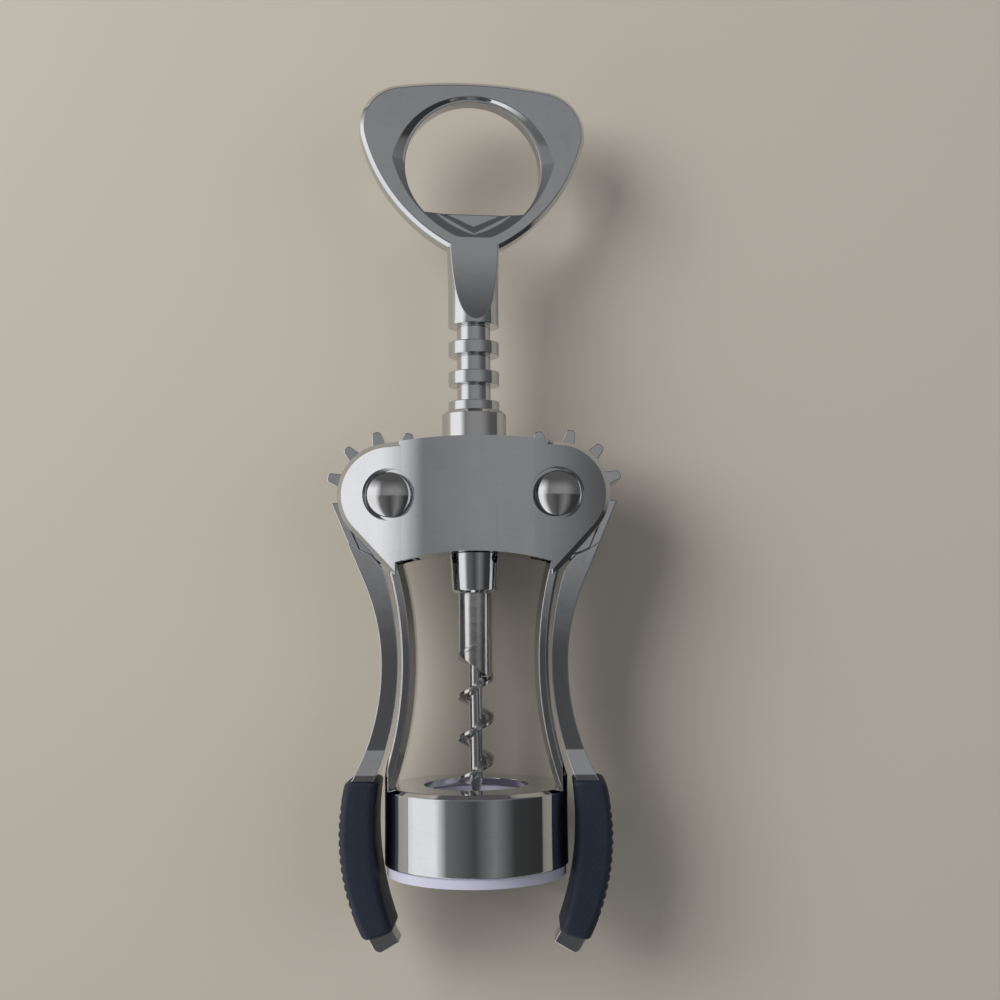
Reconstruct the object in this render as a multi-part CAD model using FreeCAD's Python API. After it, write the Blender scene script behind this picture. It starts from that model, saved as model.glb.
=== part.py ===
import FreeCAD, Part
import math
import os

# Wing corkscrew with a crown cap opener as its handle.
# Millimetres. Z runs along the spindle with the handle up, X across the two wings, and the
# front, with the domed rivet heads, faces -Y. The origin is the centre of the bell's mouth.

# Bell, which sits over the neck of the bottle
bell_wall = 1.3
bell_height = 15.3
bell_roof = 1.6
bell_roof_hole_radius = 10.6
bell_rim_chamfer = 0.8

# White plastic liner pressed into the bell: the bottle's lip stops against its flange,
# and the cork is drawn up through its throat
liner_bore_radius = 15.3
liner_wall = 1.85
liner_lip = 2.1
liner_lip_inset = 0.5
liner_flange = 2.2
liner_throat_radius = 10.0
liner_throat_chamfer = 0.6
liner_seat_gap = 0.05

# Rack and gears: the spindle carries rings, each wing a toothed sector
gear_divisions = 12
rack_pitch = 6.25
rack_ring_height = 2.7
rack_ring_radius = 5.3
rack_addendum = 0.14
gear_addendum = 1.5
gear_root_depth = 1.65
gear_tooth_root_width = 2.75
gear_tooth_tip_width = 1.6
gear_tooth_chamfer = 0.35
gear_width = 8.0
gear_tip_gap = 0.16
gear_phase_drop = 0.5
rack_rings_above_pivot = 5
rack_rings_below_pivot = 1

# Yoke: two cheeks that hold the wings between them
pivot_height = 73.8
ear_radius = 10.6
yoke_half_depth = 7.0
yoke_crown_depth = 9.4
yoke_crown_radius = 45.0
yoke_top_rise = 1.0
yoke_arch_height = 62.2
yoke_arch_rise = 2.1
yoke_knee_drop = 1.9
yoke_foot_drop = 1.2
ear_tangent_angle = 43.0
ear_edge_chamfer = 1.0
cheek_gap = 0.3
pocket_gap = 0.45

# Two bowed legs from the yoke down to the bell
leg_waist_height = 40.0
leg_waist_radius = 12.9
leg_bow_radius = 75.0
leg_thickness = 1.9
leg_half_depth = 6.3
leg_inner_crown = 0.9
leg_inner_land = 2.6
leg_corner = 0.45

# Guide bush that the stem turns and slides in
bush_outer_radius = 6.7
bush_top = 91.4
bush_spigot_radius = 6.4
bush_spigot_length = 2.6
bush_chamfer = 0.7
bush_running_gap = 0.05
stem_running_gap = 0.25

# Rivets that the wings turn on
rivet_shank_radius = 2.5
rivet_head_radius = 4.6
rivet_head_rim = 1.0
rivet_head_dome = 1.7
rivet_tail_radius = 4.0
rivet_recess_radius = 5.35
rivet_recess_depth = 1.3
rivet_running_gap = 0.08
rivet_hole_gap = 0.04

# Handle: a rounded triangular plate with a cap opener hole, turned a little in the rest pose
handle_turn = 9.0
handle_half_thickness = 2.5
handle_top = 161.7
handle_shoulder_x = 14.5
handle_shoulder_z = 151.2
handle_shoulder_radius = 9.35
handle_flank_radius = 36.7
handle_edge_chamfer = 0.8
opener_centre_height = 143.2
opener_radius = 14.4
opener_lip_height = 133.3
opener_egg_rise = 1.5
opener_bevel_margin = 2.85
opener_bevel_crown = 0.95
opener_bevel_depth = 0.8
opener_land = 0.45
opener_point_drop = 6.5
opener_ramp_half_width = 8.6
opener_ramp_drop = 4.2
opener_ramp_depth = 0.6

# Stem between the handle and the rack, scooped flat at the front and the back
stem_top_radius = 5.55
stem_scoop_radius = 45.0
stem_root_height = 126.0

# Collar under the rack, and the worm pressed into it
collar_radius = 5.25
collar_end_radius = 4.75
collar_bottom = 53.9
collar_chamfer = 0.6
worm_shank_radius = 3.45
worm_core_radius = 1.35
worm_blade_radius = 3.65
worm_blade_root = 1.9
worm_blade_edge = 0.7
worm_pitch = 8.35
worm_left_crossing = 24.3
worm_shank_high_side = 42.1
worm_shank_low_side = 36.2
worm_tip_height = 12.0
worm_point_length = 4.5

# Wings: outer and inner edges bow the same way as the legs
wing_half_depth = 5.6
wing_waist_outer = 18.75
wing_waist_height = 39.5
wing_lower_bow = 47.75
wing_upper_bow = 42.0
wing_straight_from = 56.0
wing_horn_height = 72.4
wing_horn_thickness = 1.6
wing_web_half_depth = 2.9
wing_leg_gap = 0.6
wing_inner_bow = 60.0
wing_shoulder_gap = 2.3
wing_cheek_gap = 0.5
wing_neck_start_angle = -77.0
wing_neck_end_angle = -8.0
wing_flare_half_depth = 6.5
wing_flare_height = 6.0

# Grips moulded over the lower half of each wing
grip_top = 16.6
grip_half_depth = 7.0
grip_top_gap = 0.9
grip_top_width = 6.5
grip_middle_height = 4.5
grip_middle_gap = 1.45
grip_middle_width = 7.3
grip_end_tuck = 2.3
grip_end_width = 6.0
grip_end_inner_height = -12.7
grip_end_outer_height = -14.5
grip_wall = 1.9
grip_edge_chamfer = 1.4
toe_angle = 30.0
toe_tuck = 3.0
toe_bottom = -15.2
toe_width = 5.1
toe_length = 3.4
toe_half_depth = 2.8
toe_round = 1.3

# A length that reaches past every piece, for cutting tools and open halves
past = 60.0

# Derived sizes
bell_outer_radius = liner_bore_radius + liner_wall + liner_seat_gap + bell_wall
gear_pitch_radius = gear_divisions * rack_pitch / (2 * math.pi)
gear_tip_radius = gear_pitch_radius + gear_addendum
gear_root_radius = gear_pitch_radius - gear_root_depth
pivot_spread = gear_pitch_radius + rack_ring_radius - rack_addendum
rack_core_radius = pivot_spread - gear_tip_radius - gear_tip_gap
pocket_radius = gear_tip_radius + pocket_gap
cheek_inner = gear_width / 2 + cheek_gap
stem_bore_radius = rack_ring_radius + stem_running_gap
yoke_top = pivot_height + ear_radius + yoke_top_rise
yoke_top_radius = (
    pivot_spread ** 2 + (ear_radius + yoke_top_rise) ** 2 - ear_radius ** 2
) / (2 * yoke_top_rise)
yoke_top_tangent = math.degrees(math.atan2(
    yoke_top_radius - ear_radius - yoke_top_rise, pivot_spread))
yoke_arch_end_height = yoke_arch_height - yoke_arch_rise
yoke_knee_height = yoke_arch_end_height - yoke_knee_drop
yoke_foot_height = yoke_knee_height - yoke_foot_drop
crown_half_width = 0.3 + math.sqrt(2 * yoke_crown_radius * (yoke_crown_depth - yoke_half_depth))
leg_centre = leg_waist_radius + leg_bow_radius
rack_middle = pivot_height - gear_phase_drop
rack_top = rack_middle + rack_rings_above_pivot * rack_pitch + rack_pitch - rack_ring_height / 2
collar_top = rack_middle - rack_rings_below_pivot * rack_pitch - rack_pitch + rack_ring_height / 2
first_tooth = math.degrees((rack_pitch / 2 - gear_phase_drop) / gear_pitch_radius)
wing_inner_waist = leg_waist_radius + leg_thickness + wing_leg_gap
grip_top_inner = bell_outer_radius + grip_top_gap
grip_middle_inner = bell_outer_radius + grip_middle_gap
grip_end_inner = bell_outer_radius - grip_end_tuck

X_AXIS = FreeCAD.Vector(1, 0, 0)
Y_AXIS = FreeCAD.Vector(0, 1, 0)
Z_AXIS = FreeCAD.Vector(0, 0, 1)
ORIGIN = FreeCAD.Vector(0, 0, 0)


def at(x, z, y=0.0):
    return FreeCAD.Vector(x, y, z)


def line(a, b):
    return Part.LineSegment(a, b).toShape()


def arc(a, middle, b):
    return Part.Arc(a, middle, b).toShape()


def plate(edges, half_depth):
    """Solid of a closed outline in the XZ plane, half_depth to the front and to the back."""
    face = Part.Face(Part.Wire(edges))
    face.translate(FreeCAD.Vector(0, -half_depth, 0))
    return face.extrude(FreeCAD.Vector(0, 2 * half_depth, 0))


def turned(points):
    """Solid of revolution about the spindle axis from (radius, height) points."""
    corners = [at(r, z) for r, z in points]
    wire = Part.makePolygon(corners + [corners[0]])
    return Part.Face(wire).revolve(ORIGIN, Z_AXIS, 360)


def cross_pin(x, z, radius, y_from, y_to):
    """Cylinder that runs front to back."""
    return Part.makeCylinder(radius, y_to - y_from, at(x, z, y_from), Y_AXIS)


def mirrored(shape):
    return shape.mirror(ORIGIN, X_AXIS)


def bow(waist, centre_height, radius, z):
    """Distance from the axis of an edge that bows outwards away from its waist."""
    return waist + radius - math.sqrt(radius ** 2 - (z - centre_height) ** 2)


def leg_inner(z):
    return bow(leg_waist_radius, leg_waist_height, leg_bow_radius, z)


def leg_outer(z):
    return bow(leg_waist_radius + leg_thickness, leg_waist_height, leg_bow_radius - leg_thickness, z)


def on_ear(angle, radius=None):
    """Point about the right pivot, angle in degrees from straight outwards."""
    reach = ear_radius if radius is None else radius
    a = math.radians(angle)
    return at(pivot_spread + reach * math.cos(a), pivot_height + reach * math.sin(a))


def chamfered_edges(solid, edges, size):
    if not edges:
        return solid
    return solid.makeChamfer(size, edges)


def yoke_outline():
    """Edges of the cheeks' outline: a crowned top, round ears, and an arch between the legs."""
    top_right = on_ear(yoke_top_tangent)
    leave = on_ear(-ear_tangent_angle)
    slope = math.radians(90 - ear_tangent_angle)
    knee = at(leave.x - (leave.z - yoke_knee_height) / math.tan(slope), yoke_knee_height)
    foot_x = (leg_inner(yoke_foot_height) + leg_outer(yoke_foot_height)) / 2
    foot = at(foot_x, yoke_foot_height)
    arch_end = at(leg_inner(yoke_arch_end_height) + 0.2, yoke_arch_end_height)

    def flip(p):
        return at(-p.x, p.z)

    ear_out = on_ear(0)
    return [
        arc(flip(top_right), at(0, yoke_top), top_right),
        arc(top_right, ear_out, leave),
        line(leave, knee),
        line(knee, foot),
        line(foot, arch_end),
        arc(arch_end, at(0, yoke_arch_height), flip(arch_end)),
        line(flip(arch_end), flip(foot)),
        line(flip(foot), flip(knee)),
        line(flip(knee), flip(leave)),
        arc(flip(leave), flip(ear_out), flip(top_right)),
    ]


def make_cheeks():
    """The yoke's flat faces and ears, chamfered round the rim."""
    slab = plate(yoke_outline(), yoke_half_depth)
    rim = []
    for edge in slab.Edges:
        box = edge.BoundBox
        on_face = box.YLength < 0.01 and abs(abs(box.YMin) - yoke_half_depth) < 0.01
        upper = box.ZMin > yoke_knee_height - 0.01 and box.ZMax > pivot_height - ear_radius
        if on_face and upper:
            rim.append(edge)
    return chamfered_edges(slab, rim, ear_edge_chamfer)


def make_crown():
    """The yoke's swell forwards and backwards between the rivets."""
    crown = plate(yoke_outline(), yoke_crown_depth)
    for side in (-1, 1):
        centre_y = side * (yoke_crown_depth - yoke_crown_radius)
        barrel = Part.makeCylinder(
            yoke_crown_radius, yoke_top + past, FreeCAD.Vector(0, centre_y, 0), Z_AXIS
        )
        crown = crown.common(barrel)
    inside = Part.makeBox(
        2 * crown_half_width, 4 * yoke_crown_depth, yoke_top + past,
        FreeCAD.Vector(-crown_half_width, -2 * yoke_crown_depth, 0),
    )
    return crown.common(inside)


def make_leg():
    """Right leg: its section revolved about a far axis, so that it bows towards the spindle."""
    outer = leg_waist_radius + leg_thickness
    inner = leg_waist_radius
    deep = leg_half_depth
    z = leg_waist_height
    section = Part.Wire([
        line(at(outer - leg_corner, z, -deep), at(outer, z, -deep + leg_corner)),
        line(at(outer, z, -deep + leg_corner), at(outer, z, deep - leg_corner)),
        line(at(outer, z, deep - leg_corner), at(outer - leg_corner, z, deep)),
        line(at(outer - leg_corner, z, deep), at(inner, z, deep)),
        line(at(inner, z, deep), at(inner - leg_inner_crown, z, leg_inner_land)),
        line(at(inner - leg_inner_crown, z, leg_inner_land),
             at(inner - leg_inner_crown, z, -leg_inner_land)),
        line(at(inner - leg_inner_crown, z, -leg_inner_land), at(inner, z, -deep)),
        line(at(inner, z, -deep), at(outer - leg_corner, z, -deep)),
    ])
    up = math.degrees(math.asin((yoke_arch_end_height - leg_waist_height) / leg_bow_radius))
    down = math.degrees(math.asin((leg_waist_height - bell_height + bell_roof / 2) / leg_bow_radius))
    face = Part.Face(section)
    axis_point = at(leg_centre, leg_waist_height)
    face.rotate(axis_point, Y_AXIS, -down)
    leg = face.revolve(axis_point, Y_AXIS, up + down)
    round_part = Part.makeCylinder(bell_outer_radius, leg_waist_height)
    upper_part = Part.makeBox(
        2 * past, 2 * past, past, FreeCAD.Vector(-past, -past, leg_waist_height)
    )
    return leg.common(round_part.fuse(upper_part))


def make_bell():
    inner = bell_outer_radius - bell_wall
    ceiling = bell_height - bell_roof
    return turned([
        (inner, 0),
        (bell_outer_radius, 0),
        (bell_outer_radius, bell_height - bell_rim_chamfer),
        (bell_outer_radius - bell_rim_chamfer, bell_height),
        (bell_roof_hole_radius, bell_height),
        (bell_roof_hole_radius, ceiling),
        (inner, ceiling),
    ])


def make_frame():
    right_leg = make_leg()
    frame = make_bell().fuse([right_leg, mirrored(right_leg)])
    frame = frame.fuse(make_cheeks()).fuse(make_crown())
    floor = yoke_half_depth - rivet_recess_depth
    for side in (-1, 1):
        x = side * pivot_spread
        frame = frame.cut(cross_pin(x, pivot_height, pocket_radius, -cheek_inner, cheek_inner))
        hole = rivet_shank_radius + rivet_hole_gap
        frame = frame.cut(cross_pin(x, pivot_height, hole, -past, past))
        frame = frame.cut(cross_pin(x, pivot_height, rivet_recess_radius, -past, -floor))
        frame = frame.cut(cross_pin(x, pivot_height, rivet_recess_radius, floor, past))
    bore = Part.makeCylinder(stem_bore_radius, yoke_top, FreeCAD.Vector(0, 0, leg_waist_height))
    seat_floor = yoke_top - bush_spigot_length
    seat = Part.makeCylinder(
        bush_spigot_radius + bush_running_gap, past, FreeCAD.Vector(0, 0, seat_floor)
    )
    return frame.cut([bore, seat]).removeSplitter()


def make_guide_bush():
    bore = stem_bore_radius
    bottom = yoke_top - bush_spigot_length + bush_running_gap
    flange = yoke_top + bush_running_gap
    return turned([
        (bore, bottom),
        (bush_spigot_radius, bottom),
        (bush_spigot_radius, flange),
        (bush_outer_radius, flange),
        (bush_outer_radius, bush_top - bush_chamfer),
        (bush_outer_radius - bush_chamfer, bush_top),
        (bore, bush_top),
    ])


def make_liner():
    outer = bell_outer_radius - bell_wall - liner_seat_gap
    top = bell_height - bell_roof - liner_seat_gap
    stop = top - liner_flange
    lip = bell_outer_radius - liner_lip_inset
    return turned([
        (liner_bore_radius, -liner_lip),
        (lip, -liner_lip),
        (lip, -liner_seat_gap),
        (outer, -liner_seat_gap),
        (outer, top),
        (liner_throat_radius, top),
        (liner_throat_radius, stop + liner_throat_chamfer),
        (liner_throat_radius + liner_throat_chamfer, stop),
        (liner_bore_radius, stop),
    ])


def make_rivet(x):
    """Rivet with a domed head at the front and a low peened tail at the back."""
    floor = yoke_half_depth - rivet_recess_depth
    rim = floor + rivet_head_rim
    dome_radius = (rivet_head_radius ** 2 + rivet_head_dome ** 2) / (2 * rivet_head_dome)
    crest = rim + rivet_head_dome
    profile = [
        at(0, 0, rim),
        at(rivet_tail_radius, 0, rim),
        at(rivet_tail_radius, 0, floor),
        at(rivet_shank_radius, 0, floor),
        at(rivet_shank_radius, 0, -floor),
        at(rivet_head_radius, 0, -floor),
    ]
    for share in (1.0, 0.6):
        r = rivet_head_radius * share
        profile.append(at(r, 0, -crest + dome_radius - math.sqrt(dome_radius ** 2 - r ** 2)))
    profile.append(at(0, 0, -crest))
    rivet = Part.Face(Part.makePolygon(profile + [profile[0]])).revolve(ORIGIN, Y_AXIS, 360)
    rivet.translate(at(x, pivot_height))
    return rivet


def handle_outline():
    """Crowned top, round shoulders and bowed flanks, each arc tangent to the next."""
    top_radius = (
        handle_shoulder_x ** 2 + (handle_top - handle_shoulder_z) ** 2 - handle_shoulder_radius ** 2
    ) / (2 * (handle_top - handle_shoulder_z - handle_shoulder_radius))
    shoulder = at(handle_shoulder_x, handle_shoulder_z)
    top_centre = at(0, handle_top - top_radius)
    root = at(stem_top_radius, stem_root_height)
    # The flank's centre is one flank radius from the root and tangent to the shoulder
    reach = handle_flank_radius - handle_shoulder_radius
    span = (shoulder - root).Length
    along = (shoulder - root).normalize()
    forward = (span ** 2 + handle_flank_radius ** 2 - reach ** 2) / (2 * span)
    aside = math.sqrt(handle_flank_radius ** 2 - forward ** 2)
    flank_centre = root + along * forward + FreeCAD.Vector(-along.z, 0, along.x) * aside

    def off(centre, towards, radius):
        return centre + (towards - centre).normalize() * radius

    leave = off(top_centre, shoulder, top_radius)
    turn = off(flank_centre, shoulder, handle_flank_radius)
    corner = off(shoulder, (leave + turn) * 0.5, handle_shoulder_radius)
    flank = off(flank_centre, (turn + root) * 0.5, handle_flank_radius)
    right = [arc(leave, corner, turn), arc(turn, flank, root)]
    left = [mirrored(e) for e in right]
    top = arc(at(-leave.x, leave.z), at(0, handle_top), leave)
    bottom = line(root, at(-root.x, root.z))
    return Part.Wire(Part.__sortEdges__([top] + right + left + [bottom]))


def opener_outline(margin):
    """Round hole with a straight lip below, grown outwards by margin."""
    r = opener_radius + margin
    lip = opener_lip_height - margin
    drop = opener_centre_height - lip
    half = math.sqrt(r ** 2 - drop ** 2)
    return [
        arc(at(half, lip), at(0, opener_centre_height + r), at(-half, lip)),
        line(at(-half, lip), at(half, lip)),
    ]


def egg_outline(margin, crown, point_drop, bulge):
    """Egg round the opener hole that comes to a blunt point above the stem."""
    wide = opener_radius + margin
    waist = opener_centre_height + opener_egg_rise
    top = opener_centre_height + opener_radius + crown
    point = at(0, opener_lip_height - point_drop)
    side = at(wide, waist)
    chord = side - point
    outwards = FreeCAD.Vector(chord.z, 0, -chord.x).normalize()
    flank = (side + point) * 0.5 + outwards * bulge
    return Part.Wire([
        arc(side, at(0, top), at(-side.x, side.z)),
        arc(at(-side.x, side.z), at(-flank.x, flank.z), point),
        arc(point, flank, side),
    ])


def make_handle():
    wire = handle_outline()
    face = Part.Face(wire)
    face.translate(at(0, 0, -handle_half_thickness))
    solid = face.extrude(FreeCAD.Vector(0, 2 * handle_half_thickness, 0))
    rim = []
    for edge in solid.Edges:
        box = edge.BoundBox
        if box.YLength < 0.01 and box.ZMax > stem_root_height + 0.5:
            rim.append(edge)
    solid = chamfered_edges(solid, rim, handle_edge_chamfer)
    floor = handle_half_thickness - opener_bevel_depth
    for side in (-1, 1):
        wide = egg_outline(opener_bevel_margin, opener_bevel_crown, opener_point_drop, 3.4)
        wide.translate(FreeCAD.Vector(0, side * (handle_half_thickness + 0.01), 0))
        narrow = egg_outline(opener_land, opener_land, opener_point_drop - 2.0, 3.0)
        narrow.translate(FreeCAD.Vector(0, side * floor, 0))
        solid = solid.cut(Part.makeLoft([wide, narrow], True, True))
        # Hollow below the lip that lets the edge of a crown cap in
        lip = opener_lip_height + 0.5
        half = opener_ramp_half_width
        foot = opener_lip_height - opener_ramp_drop
        ramp = Part.makeLoft([
            Part.makePolygon([
                at(-half, lip, side * (floor + 0.01)), at(half, lip, side * (floor + 0.01)),
                at(0, foot, side * (floor + 0.01)), at(-half, lip, side * (floor + 0.01)),
            ]),
            Part.makePolygon([
                at(-half + 1.5, lip, side * (floor - opener_ramp_depth)),
                at(half - 1.5, lip, side * (floor - opener_ramp_depth)),
                at(0, foot + 1.6, side * (floor - opener_ramp_depth)),
                at(-half + 1.5, lip, side * (floor - opener_ramp_depth)),
            ]),
        ], True, True)
        solid = solid.cut(ramp)
    return solid.cut(plate(opener_outline(0), past))


def make_stem():
    """Round stem that is scooped down to the handle's thickness at the front and the back."""
    low = rack_top
    stem = turned([
        (0, low),
        (rack_ring_radius, low),
        (rack_ring_radius, low + 9),
        (stem_top_radius, stem_root_height),
        (stem_top_radius, stem_root_height + 2.2),
        (0, stem_root_height + 2.2),
    ])

    def face_depth(z):
        return handle_half_thickness + (stem_root_height - z) ** 2 / (2 * stem_scoop_radius)

    top = stem_root_height + 2.5
    middle = (low + stem_root_height) / 2
    for side in (-1, 1):
        scoop = Part.Wire([
            arc(at(0, low, side * face_depth(low)), at(0, middle, side * face_depth(middle)),
                at(0, stem_root_height, side * handle_half_thickness)),
            line(at(0, stem_root_height, side * handle_half_thickness),
                 at(0, top, side * handle_half_thickness)),
            line(at(0, top, side * handle_half_thickness), at(0, top, side * past)),
            line(at(0, top, side * past), at(0, low, side * past)),
            line(at(0, low, side * past), at(0, low, side * face_depth(low))),
        ])
        cutter = Part.Face(scoop)
        cutter.translate(FreeCAD.Vector(-past, 0, 0))
        stem = stem.cut(cutter.extrude(FreeCAD.Vector(2 * past, 0, 0)))
    return stem


def make_rack():
    """Core with the rings that the wings' teeth push on, and the collar below them."""
    profile = [(0, rack_top + 0.5), (rack_core_radius, rack_top + 0.5)]
    half = rack_ring_height / 2
    for k in range(rack_rings_above_pivot, -rack_rings_below_pivot - 1, -1):
        z = rack_middle + k * rack_pitch
        profile += [
            (rack_core_radius, z + half),
            (rack_ring_radius, z + half),
            (rack_ring_radius, z - half),
            (rack_core_radius, z - half),
        ]
    profile += [
        (rack_core_radius, collar_top),
        (collar_radius, collar_top),
        (collar_end_radius, collar_bottom + collar_chamfer),
        (collar_end_radius - collar_chamfer, collar_bottom),
        (0, collar_bottom),
    ]
    return turned(profile)


def make_spindle():
    spindle = make_handle().fuse(make_stem())
    spindle.rotate(ORIGIN, Z_AXIS, handle_turn)
    spindle = spindle.fuse(make_rack())
    return spindle.removeSplitter()


def make_worm():
    """Shank with a slanted end, then a core with a right-handed blade wound round it."""
    shank = Part.makeCylinder(
        worm_shank_radius, collar_bottom - worm_shank_low_side,
        FreeCAD.Vector(0, 0, worm_shank_low_side),
    )
    r = worm_shank_radius
    wedge = Part.makePolygon([
        at(-r - 1, worm_shank_high_side), at(r + 1, worm_shank_low_side - 0.5),
        at(-r - 1, worm_shank_low_side - 0.5), at(-r - 1, worm_shank_high_side),
    ])
    wedge_face = Part.Face(wedge)
    wedge_face.translate(FreeCAD.Vector(0, -past, 0))
    shank = shank.cut(wedge_face.extrude(FreeCAD.Vector(0, 2 * past, 0)))
    core_top = worm_shank_high_side + 1.0
    point_start = worm_tip_height + worm_point_length
    core = turned([
        (0, worm_tip_height),
        (0.35, worm_tip_height),
        (worm_core_radius, point_start),
        (worm_core_radius, core_top),
        (0, core_top),
    ])
    # Blade: a trapezoid carried round a helix, starting at the left side below the lowest turn
    turns_up = (worm_shank_high_side - worm_left_crossing) / worm_pitch + 0.15
    start_z = worm_left_crossing - worm_pitch
    length = (turns_up + 1.0) * worm_pitch
    helix = Part.makeHelix(worm_pitch, length, worm_blade_radius)
    root = worm_core_radius - 0.6
    section = Part.makePolygon([
        at(root, -worm_blade_root / 2), at(worm_blade_radius, -worm_blade_edge / 2),
        at(worm_blade_radius, worm_blade_edge / 2), at(root, worm_blade_root / 2),
        at(root, -worm_blade_root / 2),
    ])
    blade = Part.Wire(helix.Edges).makePipeShell([section], True, True)
    if blade.Volume < 0:
        blade.reverse()
    blade.rotate(ORIGIN, Z_AXIS, 180)
    blade.translate(FreeCAD.Vector(0, 0, start_z))
    return core.fuse([blade, shank]).removeSplitter()


def wing_outer(z):
    if z > wing_straight_from:
        slope = (wing_straight_from - wing_waist_height) / math.sqrt(
            wing_upper_bow ** 2 - (wing_straight_from - wing_waist_height) ** 2)
        base = bow(wing_waist_outer, wing_waist_height, wing_upper_bow, wing_straight_from)
        return base + slope * (z - wing_straight_from)
    radius = wing_upper_bow if z > wing_waist_height else wing_lower_bow
    return bow(wing_waist_outer, wing_waist_height, radius, z)


def wing_inner(z):
    return bow(wing_inner_waist, leg_waist_height, wing_inner_bow, z)


def wing_outer_edges(low, high):
    """Outer edge of the wing from height low to height high."""
    middle_low = (low + wing_waist_height) / 2
    middle_up = (wing_waist_height + wing_straight_from) / 2
    return [
        arc(at(wing_outer(low), low), at(wing_outer(middle_low), middle_low),
            at(wing_outer(wing_waist_height), wing_waist_height)),
        arc(at(wing_outer(wing_waist_height), wing_waist_height), at(wing_outer(middle_up), middle_up),
            at(wing_outer(wing_straight_from), wing_straight_from)),
        line(at(wing_outer(wing_straight_from), wing_straight_from), at(wing_outer(high), high)),
    ]


def make_gear():
    """Toothed disc about the right pivot; teeth face inwards and upwards at rest."""
    half = gear_width / 2
    disc = cross_pin(pivot_spread, pivot_height, gear_root_radius, -half, half)
    teeth = []
    root_half = gear_tooth_root_width / 2
    tip_half = gear_tooth_tip_width / 2
    chamfer = gear_tooth_chamfer
    inner = gear_root_radius - 1.0
    step = 360.0 / gear_divisions
    count = rack_rings_above_pivot + 2
    for k in range(count):
        angle = 180.0 - first_tooth + step - k * step
        tooth = plate([
            line(at(inner, -root_half - 0.2), at(gear_tip_radius - chamfer, -tip_half - 0.1)),
            line(at(gear_tip_radius - chamfer, -tip_half - 0.1),
                 at(gear_tip_radius, -tip_half + chamfer)),
            line(at(gear_tip_radius, -tip_half + chamfer), at(gear_tip_radius, tip_half - chamfer)),
            line(at(gear_tip_radius, tip_half - chamfer),
                 at(gear_tip_radius - chamfer, tip_half + 0.1)),
            line(at(gear_tip_radius - chamfer, tip_half + 0.1), at(inner, root_half + 0.2)),
            line(at(inner, root_half + 0.2), at(inner, -root_half - 0.2)),
        ], half)
        tooth.rotate(ORIGIN, Y_AXIS, -angle)
        tooth.translate(at(pivot_spread, pivot_height))
        teeth.append(tooth)
    return disc.fuse(teeth)


def make_wing_arm():
    """The arm below the yoke, its neck between the cheeks and its horn beside the ear."""
    bottom = grip_top
    high = wing_horn_height
    inner_top = wing_straight_from + 2.5
    inner_start = at(wing_inner(inner_top), inner_top)
    inner_end = at(wing_inner(bottom), bottom)
    inner_middle_z = (inner_top + bottom) / 2
    # Directions along the cheek's lower edge, and square to it, from a point clear of the edge
    slope = math.radians(90 - ear_tangent_angle)
    edge = on_ear(-ear_tangent_angle, ear_radius + wing_cheek_gap)
    run = FreeCAD.Vector(-math.cos(slope), 0, -math.sin(slope))
    side = FreeCAD.Vector(-math.sin(slope), 0, math.cos(slope))
    # The neck's inner edge enters the pocket clear of the pocket's lower lip
    entry = edge + run * math.sqrt(pocket_radius ** 2 - (ear_radius + wing_cheek_gap) ** 2)
    blank = plate(
        wing_outer_edges(bottom, high)
        + [
            line(at(wing_outer(high), high), on_ear(wing_neck_end_angle, gear_root_radius - 1.0)),
            line(on_ear(wing_neck_end_angle, gear_root_radius - 1.0),
                 on_ear(wing_neck_start_angle, gear_root_radius - 1.0)),
            line(on_ear(wing_neck_start_angle, gear_root_radius - 1.0), entry),
            line(entry, inner_start),
            arc(inner_start, at(wing_inner(inner_middle_z), inner_middle_z), inner_end),
            line(inner_end, at(wing_outer(bottom), bottom)),
        ],
        wing_flare_half_depth,
    )
    # The depth of the arm: flared above the grip
    d = wing_half_depth
    f = wing_flare_half_depth
    flare_top = bottom + wing_flare_height
    depth = Part.makePolygon([
        at(0, bottom, -f), at(0, bottom + 1.2, -f), at(0, flare_top, -d), at(0, high + 5, -d),
        at(0, high + 5, d), at(0, flare_top, d), at(0, bottom + 1.2, f), at(0, bottom, f),
        at(0, bottom, -f),
    ])
    depth_solid = Part.Face(depth).extrude(FreeCAD.Vector(past, 0, 0))
    arm = blank.common(depth_solid)
    # Beside the ear only the neck's depth is left, so that it passes between the cheeks
    half = gear_width / 2
    shoulder = ear_radius + wing_shoulder_gap
    far = edge + run * past
    back = edge - run * 1.0
    clear_edges = [
        line(back, far), line(far, far + side * past), line(far + side * past, back + side * past),
        line(back + side * past, back),
    ]
    for y_from, y_to in ((-past, -half), (half, past)):
        arm = arm.cut(cross_pin(pivot_spread, pivot_height, shoulder, y_from, y_to))
        strip = Part.Face(Part.Wire(clear_edges))
        strip.translate(FreeCAD.Vector(0, y_from, 0))
        arm = arm.cut(strip.extrude(FreeCAD.Vector(0, y_to - y_from, 0)))
    # The neck is thinned to a web, which leaves the horn standing along the outer edge
    horn_inner = wing_horn_thickness
    low = pivot_height - ear_radius - 1.5
    web = [
        line(at(wing_outer(low) - horn_inner, low), at(wing_outer(high + 1) - horn_inner, high + 1)),
        line(at(wing_outer(high + 1) - horn_inner, high + 1), at(pivot_spread, high + 1)),
        line(at(pivot_spread, high + 1), at(pivot_spread, low)),
        line(at(pivot_spread, low), at(wing_outer(low) - horn_inner, low)),
    ]
    ring = cross_pin(pivot_spread, pivot_height, shoulder - 0.3, -half - 1, half + 1)
    ring = ring.cut(cross_pin(pivot_spread, pivot_height, gear_root_radius, -half - 2, half + 2))
    hollow = plate(web, half + 1).common(ring)
    hollow = hollow.cut(plate(web, wing_web_half_depth))
    return arm.cut(hollow)


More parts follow.
